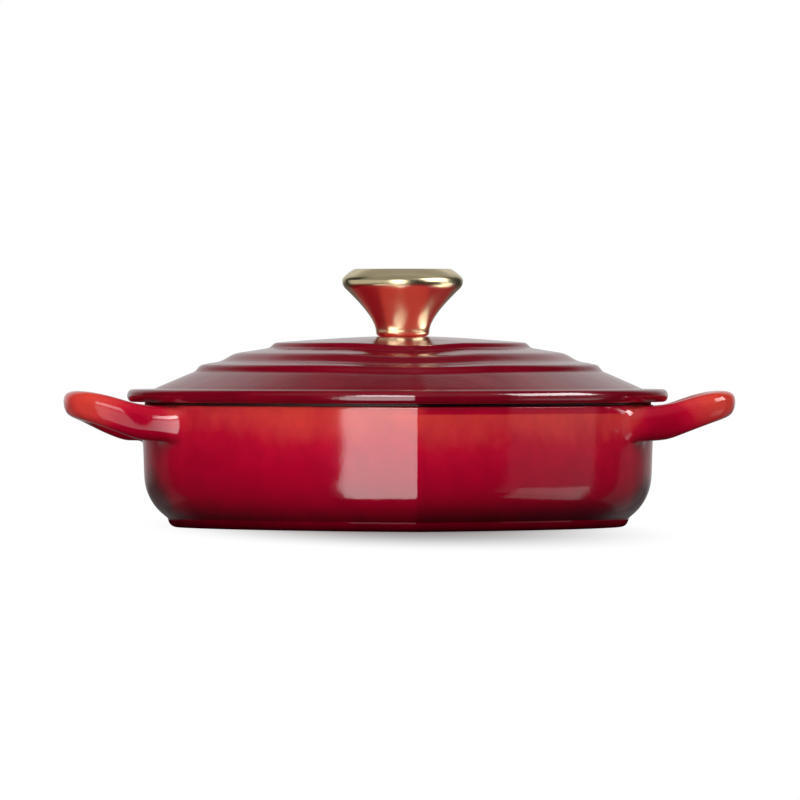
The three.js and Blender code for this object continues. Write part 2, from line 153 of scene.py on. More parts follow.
# Knob and its fixing
KNOB_WIDEST_HEIGHT = 26.3 * MM
KNOB_FLARE_RADIUS = 25.1 * MM
KNOB_FLARE_HEIGHT = 20.7 * MM
KNOB_FLARE_CURL = 9.3 * MM
KNOB_FLARE_POINTS = 22
KNOB_NECK_RADIUS = 12.6 * MM
KNOB_NECK_CURL = 5.2 * MM
KNOB_FOOT_RADIUS = 10.5 * MM
KNOB_FOOT_PULL = 0.6
KNOB_FOOT_POINTS = 8
KNOB_BELLY_PULLS = (0.55, 0.85)
KNOB_BELLY_POINTS = 9
KNOB_TOP_PULLS = (0.38, 0.12)
KNOB_TOP_POINTS = 12
KNOB_TOP_LIP = 0.3 * MM
KNOB_TOP_CHAMFER = 0.25 * MM
KNOB_WALL = 2 * MM
KNOB_BASE = 2.5 * MM
KNOB_HOLLOW_RADIUS = 7.8 * MM
KNOB_HOLLOW_HEIGHT = 11 * MM
CAP_SEAT_DEPTH = 2.25 * MM
CAP_LEDGE = 1.5 * MM
CAP_EDGE_ROUND = 0.4 * MM
CAP_EDGE_PULLS = (0.3, 0.5)
CAP_EDGE_POINTS = 5
# The cap's slight dome, in shares of its radius and of its edge round
CAP_DOME = [(0.75, 0.45), (0.5, 0.75), (0.25, 0.94), (0, 1)]
GASKET_ROUND = 0.2 * MM
WASHER_ROUND = 0.25 * MM
RING_ROUND_SHARE = 0.3
LATHE_STEPS = 96
LATHE_SHARP_ANGLE = math.radians(30)

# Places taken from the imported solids
lid_low, lid_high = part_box("lid")
knob_low, knob_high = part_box("knob_shell")
cap_low, cap_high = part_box("knob_cap")
gasket_low, gasket_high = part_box("knob_gasket")
washer_low, washer_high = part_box("screw_washer")

rim_half = lid_high.x
knob_y = (knob_low.y + knob_high.y) / 2
knob_axis = Vector((0, knob_y, 0))
knob_half = (knob_high.x - knob_low.x) / 2
cap_half = (cap_high.x - cap_low.x) / 2
gasket_half = (gasket_high.x - gasket_low.x) / 2
crown_height = gasket_low.z - SEAL_GAP
seat = lid_low.z + RIB_DEPTH
pot_height = seat - FIT_GAP
pot_half = rim_half - LID_OVERHANG
inner_half = pot_half - WALL
foot_half = pot_half - FOOT_INSET
plateau_half = rim_half - STEP_EDGES[-1]["inset"]
land_foot = pot_height - LAND_HEIGHT
root_low = pot_height + HANDLE_LOW["root"]
root_high = land_foot - HANDLE_ROOT_GAP
root_middle = (root_low + root_high) / 2
front_arm = knob_y + HANDLE_BEHIND_KNOB - HANDLE_SPAN / 2
back_arm = knob_y + HANDLE_BEHIND_KNOB + HANDLE_SPAN / 2

# Finishes, as places in the material lists of pot and lid
RED, BLACK, SAND = range(3)


def blend(start, end, share):
    return start + (end - start) * share


def hold(value):
    return min(max(value, 0), 1)


def smoothstep(value):
    held = hold(value)
    return held * held * (3 - 2 * held)


def cage_spread(cosine):
    """How much wider a cage corner of this cosine has to be, so that its smoothed form keeps its size."""
    return 3 / (2 + cosine)


def half_heart(bm, tip_radius):
    """Sweeps the right half of the lid's rim, bend by bend from tip to cleft, and returns its edges."""
    tip = Vector((0, lid_low.y + tip_radius, 0))
    lobe = Vector((rim_half - LOBE_RADIUS, lid_high.y - LOBE_RADIUS, 0))
    cleft = Vector((0, lobe.y + math.sqrt((LOBE_RADIUS + CLEFT_RADIUS) ** 2 - lobe.x**2), 0))
    to_lobe = FLANK_RADIUS - LOBE_RADIUS
    to_tip = FLANK_RADIUS - tip_radius
    across = lobe - tip
    along = (to_tip**2 - to_lobe**2 + across.length_squared) / (2 * across.length)
    aside = math.sqrt(to_tip**2 - along**2)
    flank = tip + across.normalized() * along + Vector((-across.y, across.x, 0)).normalized() * aside

    def heading(start, end):
        return math.atan2(end.y - start.y, end.x - start.x)

    def wall_angle(centre, radius, y):
        rim_y = knob_y + (y - knob_y) * rim_half / pot_half
        return math.asin((rim_y - centre.y) / radius)

    reach = HANDLE_ROOT_WIDTH / 2
    flank_start = heading(flank, tip)
    flank_end = heading(flank, lobe)
    lobe_end = heading(lobe, cleft)
    front_start = wall_angle(flank, FLANK_RADIUS, front_arm - reach - HANDLE_LEAD)
    front_end = wall_angle(flank, FLANK_RADIUS, front_arm + reach)
    back_start = wall_angle(lobe, LOBE_RADIUS, back_arm - reach)
    back_end = wall_angle(lobe, LOBE_RADIUS, back_arm + reach)
    bends = [
        (tip, flank_start + math.pi / 2, TIP_STEPS),
        (flank, front_start - flank_start, FLANK_STEPS),
        (flank, front_end - front_start, ROOT_STEPS),
        (flank, flank_end - front_end, ROOT_GAP_STEPS),
        (lobe, back_start - flank_end, LOBE_FRONT_STEPS),
        (lobe, back_end - back_start, ROOT_STEPS),
        (lobe, lobe_end - back_end, LOBE_BACK_STEPS),
        (cleft, math.pi / 2 - lobe_end, CLEFT_STEPS),
    ]
    end = bm.verts.new((0, lid_low.y, 0))
    for centre, angle, steps in bends:
        swept = bmesh.ops.spin(bm, geom=[end], cent=centre, axis=(0, 0, 1), angle=angle, steps=steps)
        end = next(part for part in swept["geom_last"] if isinstance(part, bmesh.types.BMVert))
    return bm.edges[:]


def place_ring(bm, verts, old, new):
    """Scales a heart ring about the knob's axis and lifts it from one (half width, height) to another."""
    scale = new[0] / old[0]
    there = Matrix.Translation(knob_axis + Vector((0, 0, new[1] - old[1])))
    back = Matrix.Translation(-knob_axis)
    bmesh.ops.transform(bm, matrix=there @ Matrix.Diagonal((scale, scale, 1, 1)) @ back, verts=verts)


def paint(faces, finish):
    for face in faces:
        face.material_index = finish


def grow(bm, edges, finish):
    """Extrudes a chain of edges in place in one finish, and returns its new edges and vertices."""
    grown = bmesh.ops.extrude_edge_only(bm, edges=edges)["geom"]
    verts = [part for part in grown if isinstance(part, bmesh.types.BMVert)]
    fresh = set(verts)
    grown_edges = [part for part in grown if isinstance(part, bmesh.types.BMEdge)]
    new_edges = [edge for edge in grown_edges if fresh.issuperset(edge.verts)]
    paint({face for edge in new_edges for face in edge.link_faces}, finish)
    return new_edges, verts


def sweep(bm, edges, start, sections):
    """Grows a heart ring through sections of (half width, height) points, each in its finish.
    Returns the last edges, and the vertices and half width of each ring."""
    last = start
    rings = []
    for section, finish in sections:
        for point in section:
            edges, verts = grow(bm, edges, finish)
            place_ring(bm, verts, last, point)
            rings.append((verts, point[0]))
            last = point
    return edges, rings


def bend(centre, radius, start, end, steps):
    """Points of a rounded corner in a section, from one angle to another in degrees."""
    cage_radius = radius * cage_spread(math.cos(math.radians(end - start) / steps))
    points = []
    for step in range(steps + 1):
        angle = math.radians(blend(start, end, step / steps))
        points.append((centre[0] + cage_radius * math.cos(angle), centre[1] + cage_radius * math.sin(angle)))
    return points


def finish_piece(bm, name, materials):
    """Makes a smooth mesh object of a bmesh, at the origin, with its finishes."""
    bmesh.ops.remove_doubles(bm, verts=bm.verts, dist=MERGE_DISTANCE)
    bmesh.ops.recalc_face_normals(bm, faces=bm.faces)
    for face in bm.faces:
        face.smooth = True
    mesh = bpy.data.meshes.new(name)
    bm.to_mesh(mesh)
    bm.free()
    for finish in materials:
        mesh.materials.append(finish)
    piece = bpy.data.objects.new(name, mesh)
    bpy.context.scene.collection.objects.link(piece)
    return piece


def finish_casting(bm, name, materials):
    """Makes a piece of a casting's cage, and smooths it."""
    piece = finish_piece(bm, name, materials)
    smoothing = piece.modifiers.new("smoothing", "SUBSURF")
    smoothing.levels = smoothing.render_levels = SMOOTHING_LEVELS
    return piece


def cut_root(bm, arm_y, lead):
    """Opens the wall for an arm, and returns the opening's edges and each corner's place in the arm."""
    root_y = arm_y - lead / 2
    root_half = (HANDLE_ROOT_WIDTH + lead) / 2
    faces = []
    for face in bm.faces:
        centre = face.calc_center_median()
        in_column = abs(centre.y - root_y) < root_half and centre.x > 0
        if face.material_index == RED and in_column and root_low < centre.z < root_high:
            faces.append(face)
    inside = set(faces)
    rim = [edge for face in faces for edge in face.edges if not inside.issuperset(edge.link_faces)]
    spots = {}
    for vert in {vert for edge in rim for vert in edge.verts}:
        aside = round((vert.co.y - root_y) / root_half)
        up = round((vert.co.z - root_middle) / ((root_high - root_low) / 2))
        spots[vert] = (aside, up)
    bmesh.ops.delete(bm, geom=faces, context="FACES")
    return rim, spots


def rise_share(x, wall, line):
    """How far along its rise from the wall to the end an arm's top or bottom line is."""
    start = wall + line["start"]
    stop = pot_half + HANDLE_REACH - line["stop"]
    return hold((x - start) / (stop - start))


def handle_lines(place, wall_front, wall_back):
    """Heights of the handle's bottom and top line at a place in plan, from the pot's rim."""
    share = (place.y - front_arm) / HANDLE_SPAN
    low_share = rise_share(place.x, blend(wall_front, wall_back, share), HANDLE_LOW)
    top_share = rise_share(place.x, blend(wall_front + HANDLE_TOP_LEAD, wall_back, share), HANDLE_TOP)
    low = blend(HANDLE_LOW["root"], HANDLE_LOW["end"], 1 - (1 - low_share) ** HANDLE_LOW_EASE)
    top = blend(HANDLE_TOP["root"], HANDLE_TOP["end"], smoothstep(top_share))
    return low, top


def handle_stations(wall_front, wall_back):
    """Stations of the right handle from front to back root: centre, direction and share of extra width."""
    bend_x = pot_half + HANDLE_REACH - HANDLE_WIDTH / 2 - HANDLE_BEND
    stations = []
    for fillets, flare in HANDLE_FRONT_ROOT:
        stations.append((Vector((wall_front + fillets * HANDLE_FILLET, front_arm)), Vector((1, 0)), flare))
    for centre_y, first in ((front_arm + HANDLE_BEND, -90), (back_arm - HANDLE_BEND, 0)):
        for step in range(HANDLE_BEND_STEPS + 1):
            angle = math.radians(first + 90 * step / HANDLE_BEND_STEPS)
            out = Vector((math.cos(angle), math.sin(angle)))
            stations.append((Vector((bend_x, centre_y)) + out * HANDLE_BEND, Vector((-out.y, out.x)), 0))
    for fillets, flare in HANDLE_BACK_ROOT:
        stations.append((Vector((wall_back + fillets * HANDLE_FILLET, back_arm)), Vector((-1, 0)), flare))
    return stations


def grow_handle(bm):
    """Grows the right handle out of the wall at its front arm, round its bar and back into the wall."""
    edges, spots = cut_root(bm, front_arm, HANDLE_LEAD)
    back_rim, back_spots = cut_root(bm, back_arm, 0)
    wall_front = max(vert.co.x for vert, (aside, up) in spots.items() if aside == 0)
    wall_back = max(vert.co.x for vert, (aside, up) in back_spots.items() if aside == 0)
    skew = {vert: vert.co.x - wall_front for vert in spots}
    spread = cage_spread(HANDLE_SQUARENESS)
    for centre, ahead, flare in handle_stations(wall_front, wall_back):
        half_width = blend(HANDLE_WIDTH, HANDLE_ROOT_WIDTH, flare) / 2
        sideways = Vector((-ahead.y, ahead.x))
        front_flare = flare if ahead.x > 0 else 0
        edges, verts = grow(bm, edges, RED)
        new_spots = {}
        new_skew = {}
        for vert in verts:
            old = next(edge.other_vert(vert) for edge in vert.link_edges if edge.other_vert(vert) in spots)
            aside, up = spots[old]
            new_spots[vert] = (aside, up)
            new_skew[vert] = skew[old]
            corner = spread * (HANDLE_SQUARENESS if aside and up else 1)
            lead = HANDLE_LEAD * front_flare if aside < 0 else 0
            tilt = HANDLE_TILT * up / 2 if aside < 0 else 0
            place = centre + sideways * (aside * corner * (half_width + lead) - tilt)
            low, top = handle_lines(place, wall_front, wall_back)
            height = pot_height + (top + low) / 2 + up * corner * (top - low) / 2
            vert.co = (place.x + HANDLE_SLOPE * front_flare * skew[old], place.y, height)
        spots, skew = new_spots, new_skew
    joined = bmesh.ops.bridge_loops(bm, edges=edges + back_rim)
    paint(joined["faces"], RED)


def mirror_halves(bm):
    """Adds the left half of a right half, joined along the plane through tip and cleft."""
    bmesh.ops.mirror(bm, geom=bm.verts[:] + bm.edges[:] + bm.faces[:], axis="X", merge_dist=MERGE_DISTANCE)


def build_pot(materials):
    """The pot with its handles, grown as one ring from under its base over the wall to its floor."""
    bm = bmesh.new()
    edges = half_heart(bm, POT_TIP_RADIUS)
    low_half = pot_half - WALL_DRAFT
    corner_x = low_half - CORNER_RADIUS
    corner_start = -math.degrees(math.acos((foot_half - corner_x) / CORNER_RADIUS))
    corner_z = FOOT_HEIGHT - CORNER_RADIUS * math.sin(math.radians(corner_start))
    floor_height = FOOT_RECESS + BASE_THICKNESS
    inner_radius = CORNER_RADIUS - WALL
    inner_x = low_half - WALL - inner_radius
    foot_inner = foot_half - FOOT_WIDTH
    land_half = pot_half - LAND_INSET
    near_share, far_share = BASE_RING_SHARES

    def wall_half(height):
        return low_half + WALL_DRAFT * (height - corner_z) / (land_foot - corner_z)

    start = (foot_inner * near_share, FOOT_RECESS)
    shoulder = [
        (pot_half - inward * SHOULDER_ROUND, land_foot - down * SHOULDER_ROUND)
        for inward, down in SHOULDER_EDGE
    ]
    outside = [
        (foot_inner * far_share, FOOT_RECESS),
        *((foot_inner - inward * FOOT_RECESS, up * FOOT_RECESS) for inward, up in FOOT_INNER_EDGE),
        *((foot_half - inward * FOOT_ROUND, up * FOOT_ROUND) for inward, up in FOOT_OUTER_EDGE),
        (foot_half, FOOT_HEIGHT - FOOT_CREASE),
        *bend((corner_x, corner_z), CORNER_RADIUS, corner_start, 0, CORNER_STEPS),
        *((wall_half(row), row) for row in ((corner_z + root_low) / 2, root_low, root_middle, root_high)),
        *shoulder,
    ]
    land = [
        (land_half + LAND_FILLET_REACH, land_foot),
        (land_half, land_foot + LAND_FILLET),
        (land_half, pot_height - LAND_ROUND),
        (land_half - LAND_ROUND, pot_height),
        (inner_half + INNER_EDGE_ROUND, pot_height),
    ]
    inside = [
        (inner_half, pot_height - INNER_EDGE_ROUND),
        (inner_half, pot_height - INNER_EDGE_DEPTH),
        (inner_half - INNER_ROW_DRAFT_SHARE * WALL_DRAFT, pot_height * INNER_ROW_HEIGHT_SHARE),
        *bend((inner_x, floor_height + inner_radius), inner_radius, 0, -90, INNER_CORNER_STEPS),
        (inner_x * far_share, floor_height),
        (inner_x * near_share, floor_height),
    ]
    place_ring(bm, bm.verts, (rim_half / CAGE_SWELL, 0), start)
    sweep(bm, edges, start, ((outside, RED), (land, BLACK), (inside, SAND)))
    grow_handle(bm)
    mirror_halves(bm)
    rims = [edge for edge in bm.edges if edge.is_boundary]
    for face in bmesh.ops.holes_fill(bm, edges=rims, sides=0)["faces"]:
        face.material_index = SAND if face.calc_center_median().z > floor_height / 2 else RED
    return finish_casting(bm, "casserole_pot", materials)


def curve_points(*corners, steps):
    """Points of a smooth curve through its first and last corner, drawn by the two between."""
    points = interpolate_bezier(*(Vector(corner) for corner in corners), steps)
    return [(point.x, point.y) for point in points]


def step_section(edge):
    """A step's S-shaped section, from its foot to its edge."""
    half = rim_half - edge["inset"]
    top = seat + edge["height"]
    foot_half_width = half + edge["run"]
    foot = top - edge["rise"]
    pull = edge["run"] * STEP_CURL
    return curve_points(
        (foot_half_width, foot),
        (foot_half_width - pull, foot),
        (half + pull, top),
        (half, top),
        steps=STEP_POINTS,
    )


def share_from_knob(half):
    """How far a lid ring of this half width lies from the knob's neck to the edge of the top step."""
    return smoothstep((half - KNOB_NECK_RADIUS) / (plateau_half - KNOB_NECK_RADIUS))


def sink_to_tip(verts, half):
    """Lowers the part of a lid ring that faces the tip, so that the steps slope down towards it."""
    outer_start = rim_half - STEP_EDGES[1]["inset"]
    outer_end = rim_half - RIM_WIDTH
    outer = 1 - smoothstep((half - outer_start) / (outer_end - outer_start))
    fall = TIP_FALL * share_from_knob(half) * outer
    tip_reach = knob_y - lid_low.y
    for vert in verts:
        forward = (knob_y - vert.co.y) * rim_half / half / tip_reach
        vert.co.z -= fall * smoothstep((forward - TIP_FALL_START) / (1 - TIP_FALL_START))


def build_lid(materials):
    """The lid, grown as one ring from its screw hole, under and round its rim and back over its steps."""
    bm = bmesh.new()
    first = half_heart(bm, LID_TIP_RADIUS)
    plateau_height = seat + STEP_EDGES[-1]["height"]
    rim_top = seat + RIM_HEIGHT
    rim_x = rim_half - RIM_ROUND - RIM_SLACK
    rib_outer = inner_half - RIB_CLEARANCE
    rib_inner = rib_outer - RIB_WIDTH
    rib_foot = seat - RIB_DEPTH
    skirt_under = seat + SKIRT_RISE - LID_WALL
    steps = [point for edge in STEP_EDGES for point in step_section(edge)]
    crown = []
    for share in CROWN_SHARES:
        half = blend(KNOB_NECK_RADIUS, plateau_half, share)
        crown.append((half, blend(crown_height, plateau_height, share**CROWN_CURVE)))
    crown += [(half, crown_height) for half in (KNOB_NECK_RADIUS, 2 * SCREW_HOLE, SCREW_HOLE)]
    start, *under = [
        *((half, height - LID_WALL) for half, height in reversed(crown)),
        *((half - LID_WALL / 2, height - LID_WALL) for half, height in reversed(steps)),
        (rib_inner - 2 * RIB_ROUND, skirt_under - SKIRT_ROUND),
        (rib_inner, skirt_under - 2 * RIB_ROUND),
        (rib_inner, rib_foot + RIB_ROUND),
        (rib_inner + RIB_ROUND, rib_foot),
        (rib_outer - RIB_ROUND, rib_foot),
        (rib_outer, rib_foot + RIB_ROUND),
        (rib_outer, seat - RIB_FILLET),
    ]
    seat_face = [(rib_outer + RIB_FILLET, seat), (pot_half, seat)]
    top = [
        *bend((rim_x, seat - RIM_DRIP + RIM_ROUND), RIM_ROUND, -90, 0, RIM_STEPS),
        *bend((rim_x, rim_top - RIM_ROUND), RIM_ROUND, 0, 90, RIM_STEPS),
        (rim_half - RIM_WIDTH * RIM_RING_SHARE, rim_top),
        *((rim_half - RIM_WIDTH - inward, rim_top + up) for inward, up in SKIRT_FOOT),
        *steps,
        *crown,
    ]
    place_ring(bm, bm.verts, (rim_half, 0), start)
    first_ring = (bm.verts[:], start[0])
    last, rings = sweep(bm, first, start, ((under, SAND), (seat_face, BLACK), (top, RED)))
    for verts, half in (first_ring, *rings):
        sink_to_tip(verts, half)
        for vert in verts:
            flat = Vector((vert.co.x, vert.co.y - knob_y))
            vert.co.xy = knob_axis.xy + flat.lerp(flat.normalized() * half, 1 - share_from_knob(half))
    bmesh.ops.bridge_loops(bm, edges=first + last)
    mirror_halves(bm)
    return finish_casting(bm, "casserole_lid", materials)


def lathe(name, profile, materials):
    """Turns a section of (radius, height) points about the knob's axis. One off the axis is closed."""
    bm = bmesh.new()
    verts = [bm.verts.new((radius, knob_y, height)) for radius, height in profile]
    edges = [bm.edges.new(pair) for pair in zip(verts, verts[1:])]
    if profile[0][0] > 0:
        edges.append(bm.edges.new((verts[-1], verts[0])))
    turn = {"cent": knob_axis, "axis": (0, 0, 1), "angle": 2 * math.pi, "steps": LATHE_STEPS}
    bmesh.ops.spin(bm, geom=verts + edges, **turn, use_merge=True)
    piece = finish_piece(bm, name, materials)
    piece.data.set_sharp_from_angle(angle=LATHE_SHARP_ANGLE)
    return piece


def build_knob(materials):
    """The hollow knob, from its foot up its flare, over its top edge and down its inside."""
    foot = crown_height
    top = knob_high.z
    foot_round = KNOB_NECK_RADIUS - KNOB_FOOT_RADIUS
    cap_seat = cap_half + FIT_GAP
    cap_ledge = cap_seat - CAP_LEDGE
    gasket_seat = gasket_half + FIT_GAP
    curl = KNOB_FLARE_CURL * math.sqrt(0.5)
    flare_top = foot + KNOB_FLARE_HEIGHT
    belly = knob_half - KNOB_FLARE_RADIUS
    belly_pull, widest_pull = KNOB_BELLY_PULLS
    widest = foot + KNOB_WIDEST_HEIGHT
    shoulder_pull, top_pull = KNOB_TOP_PULLS
    profile = [
        *curve_points(
            (KNOB_FOOT_RADIUS, foot),
            (KNOB_FOOT_RADIUS + KNOB_FOOT_PULL * foot_round, foot),
            (KNOB_NECK_RADIUS, foot + (1 - KNOB_FOOT_PULL) * foot_round),
            (KNOB_NECK_RADIUS, foot + foot_round),
            steps=KNOB_FOOT_POINTS,
        ),
        *curve_points(
            (KNOB_NECK_RADIUS, foot + foot_round),
            (KNOB_NECK_RADIUS, foot + foot_round + KNOB_NECK_CURL),
            (KNOB_FLARE_RADIUS - curl, flare_top - curl),
            (KNOB_FLARE_RADIUS, flare_top),
            steps=KNOB_FLARE_POINTS,
        )[1:],
        *curve_points(
            (KNOB_FLARE_RADIUS, flare_top),
            (KNOB_FLARE_RADIUS + belly_pull * belly, flare_top + belly_pull * belly),
            (knob_half, widest - widest_pull * belly),
            (knob_half, widest),
            steps=KNOB_BELLY_POINTS,
        )[1:],
        *curve_points(
            (knob_half, widest),
            (knob_half, blend(widest, top, shoulder_pull)),
            (blend(cap_seat, knob_half, top_pull), top),
            (cap_seat + KNOB_TOP_LIP, top),
            steps=KNOB_TOP_POINTS,
        )[1:],
        (cap_seat, top - KNOB_TOP_CHAMFER),
        (cap_seat, top - CAP_SEAT_DEPTH),
        (cap_ledge, top - CAP_SEAT_DEPTH),
        (cap_ledge, flare_top + KNOB_WALL),
        (KNOB_HOLLOW_RADIUS, foot + KNOB_HOLLOW_HEIGHT),
        (KNOB_HOLLOW_RADIUS, foot + KNOB_BASE),
        (SCREW_HOLE, foot + KNOB_BASE),
        (SCREW_HOLE, knob_low.z),
        (gasket_seat, knob_low.z),
        (gasket_seat, foot),
    ]
    return lathe("knob_body", profile, materials)


def build_cap(materials):
    """The disc in the knob's top, slightly domed."""
    edge_top = cap_high.z - CAP_EDGE_ROUND
    side_pull, top_pull = CAP_EDGE_PULLS
    profile = [
        (0, cap_low.z),
        (cap_half, cap_low.z),
        *curve_points(
            (cap_half, edge_top - CAP_EDGE_ROUND),
            (cap_half, edge_top - side_pull * CAP_EDGE_ROUND),
            (cap_half - top_pull * CAP_EDGE_ROUND, edge_top),
            (cap_half - CAP_EDGE_ROUND, edge_top),
            steps=CAP_EDGE_POINTS,
        ),
        *((cap_half * share, edge_top + dome * CAP_EDGE_ROUND) for share, dome in CAP_DOME),
    ]
    return lathe("knob_top_disc", profile, materials)


def build_ring(name, low, high, edge_round, materials):
    """A flat ring round the screw with rounded outer edges."""
    radius = (high.x - low.x) / 2
    nick = RING_ROUND_SHARE * edge_round
    profile = [
        (SCREW_HOLE, low.z),
        (radius - edge_round, low.z),
        (radius - nick, low.z + nick),
        (radius, low.z + edge_round),
        (radius, high.z - edge_round),
        (radius - nick, high.z - nick),
        (radius - edge_round, high.z),
        (SCREW_HOLE, high.z),
    ]
    return lathe(name, profile, materials)


def add(tree, kind, sockets=None, **settings):
    """Adds a node with its settings, and its socket values or links."""
    made = tree.nodes.new(kind)
    for name, value in settings.items():
        setattr(made, name, value)
    for name, value in (sockets or {}).items():
        if isinstance(value, bpy.types.NodeSocket):
            tree.links.new(value, made.inputs[name])
        else:
            made.inputs[name].default_value = value
    return made


def combine(tree, operation, *values):
    """Result of a sum, product or other operation on values."""
    return add(tree, "ShaderNodeMath", dict(enumerate(values)), operation=operation).outputs["Value"]


def band(tree, value, low, high, low_value=0, high_value=1, **settings):
    """A number that goes from one value to another while another number goes from low to high."""
    limits = {"From Min": low, "From Max": high, "To Min": low_value, "To Max": high_value}
    return add(tree, "ShaderNodeMapRange", {"Value": value, **limits}, **settings).outputs["Result"]


def coordinates(tree, vector):
    """Parts of a place or direction, and how far it is aside from the plane through tip and cleft."""
    parts = add(tree, "ShaderNodeSeparateXYZ", {"Vector": vector}).outputs
    aside = combine(tree, "ABSOLUTE", parts["X"])
    return {"x": parts["X"], "y": parts["Y"], "z": parts["Z"], "aside": aside}


def product(tree, places, bands):
    """Product of bands, each along one of the coordinates."""
    factors = [band(tree, places[along], *limits) for along, *limits in bands]
    result = factors[0]
    for factor in factors[1:]:
        result = combine(tree, "MULTIPLY", result, factor)
    return result


def new_material(name):
    """A new material with its node tree, its shader and its object coordinates."""
    made = bpy.data.materials.new(name)
    made.use_nodes = True
    tree = made.node_tree
    coords = add(tree, "ShaderNodeTexCoord").outputs["Object"]
    return made, tree, tree.nodes["Principled BSDF"], coords


def srgb(red, green, blue):
    """A shader colour from 0 to 255 display values."""
    def linear(value):
        share = value / 255
        return share / 12.92 if share <= 0.04045 else ((share + 0.055) / 1.055) ** 2.4
    return (linear(red), linear(green), linear(blue), 1)


def ramp(tree, factor, stops):
    """A colour that runs through stops of (position, colour)."""
    made = add(tree, "ShaderNodeValToRGB", {"Fac": factor})
    elements = made.color_ramp.elements
    while len(elements) < len(stops):
        elements.new(0.5)
    for element, (position, colour) in zip(elements, stops):
        element.position = position
        element.color = colour
    return made.outputs["Color"]


def noise(tree, coords, scale, detail=2.0, roughness=0.5):
    look = {"Scale": scale, "Detail": detail, "Roughness": roughness}
    return add(tree, "ShaderNodeTexNoise", {"Vector": coords, **look}).outputs["Fac"]


def bump(tree, height, strength, distance, **normal):
    look = {"Strength": strength, "Distance": distance}
    return add(tree, "ShaderNodeBump", {"Height": height, **look, **normal}).outputs["Normal"]


# Surface of fired enamel: orange peel, slow waves of the casting, an uneven shine and cloudy patches
PEEL_SCALE = 420.0
PEEL_DEPTH = 0.1 * MM
WAVE_SCALE = 38.0
WAVE_STRENGTH = 0.35
WAVE_DEPTH = 0.6 * MM
SHINE_SHARES = (0.75, 1.35)
CLOUDS = {"scale": 90.0, "detail": 4.0, "roughness": 0.6}
CLOUD_LIMITS = (0.35, 0.65)


def glaze(tree, shader, coords, roughness, peel):
    """Gives a shader the gloss of fired enamel."""
    fine = noise(tree, coords, PEEL_SCALE, detail=1.0)
    waves = noise(tree, coords, WAVE_SCALE)
    wave_normal = bump(tree, waves, WAVE_STRENGTH, WAVE_DEPTH)
    tree.links.new(bump(tree, fine, peel, PEEL_DEPTH, Normal=wave_normal), shader.inputs["Normal"])
    least, most = (roughness * share for share in SHINE_SHARES)
    tree.links.new(band(tree, waves, 0, 1, least, most), shader.inputs["Roughness"])


def mottled(tree, coords, base, strength):
    """Cloudy patches over a base colour, lighter and darker by a share of it."""
    clouds = band(tree, noise(tree, coords, **CLOUDS), *CLOUD_LIMITS, 1 - strength, 1 + strength)
    return add(tree, "ShaderNodeHueSaturation", {"Color": base, "Value": clouds}).outputs["Color"]


# Pot's enamel: its colour follows the height, which drifts with runs and curls in the glaze
POT_RUNS = {"scale": 26.0, "detail": 3.0, "roughness": 0.55}
POT_RUNS_REACH = 16 * MM
POT_CURLS = {"scale": 85.0, "detail": 4.0, "roughness": 0.6}
POT_CURLS_REACH = 14 * MM
POT_COLOUR_HEIGHT = 66 * MM
POT_COLOURS = [
    (0.0, srgb(68, 0, 13)),
    (0.05, srgb(88, 1, 18)),
    (0.1, srgb(114, 1, 24)),
    (0.2, srgb(148, 1, 33)),
    (0.45, srgb(176, 2, 42)),
    (0.6, srgb(192, 12, 46)),
    (0.72, srgb(206, 48, 54)),
    (0.86, srgb(216, 62, 56)),
    (1.0, srgb(222, 66, 46)),
]
# Where that height is changed, as bands: a coordinate, two places along it, and the values before and after
FOOT_FADE = 0.6 * MM
FOOT_CALM = [("z", 12 * MM, 32 * MM, 0.2, 1)]
FOOT_LIFT = [("z", FOOT_HEIGHT - FOOT_FADE, FOOT_HEIGHT, 1.5 * MM, 0)]
ARMS_DIP = [("aside", 106 * MM, 116 * MM, 0, 1), ("aside", 128 * MM, 147 * MM, 18 * MM, 0)]
# Painted shade: the left end of the wall and the left handle's root are made darker, most towards the top
LEFT_PAINTED_SHADE = [
    ("x", -98 * MM, -55 * MM, 8 * MM, 0),
    ("z", 28 * MM, 52 * MM, 0.4, 1),
    ("aside", 120 * MM, 140 * MM, 1, 0),
]
# A darker band of the enamel just under the rim across the front, deepened to the right into a painted
# shadow of the lid's overhang
SHOULDER_DIP_AND_PAINTED_SHADOW = [
    ("aside", 100 * MM, 108 * MM, 1, 0),
    ("z", 54.0 * MM, 54.6 * MM, 0, 1),
    ("x", -8 * MM, 8 * MM, 2 * MM, 22 * MM),
]
# Painted shade: the right half of the wall is made darker towards the bottom above the foot, more so further
# right
LOW_RIGHT_PAINTED_SHADE = [
    ("x", -3 * MM, 3 * MM, 0, 1),
    ("z", 10 * MM, 24 * MM, 1, 0),
    ("z", FOOT_HEIGHT - FOOT_FADE, FOOT_HEIGHT, 0, 1),
    ("x", 0, 80 * MM, 2.5 * MM, 5 * MM),
]
# Its mirror-like shine, which is weaker at the foot and on the handles
POT_SHINE = [
    ("z", 3.5 * MM, 7.5 * MM, 0, 0.5),
    ("aside", 108 * MM, 122 * MM, 1, 0.55),
    ("x", -122 * MM, -108 * MM, 0.55, 1),
]


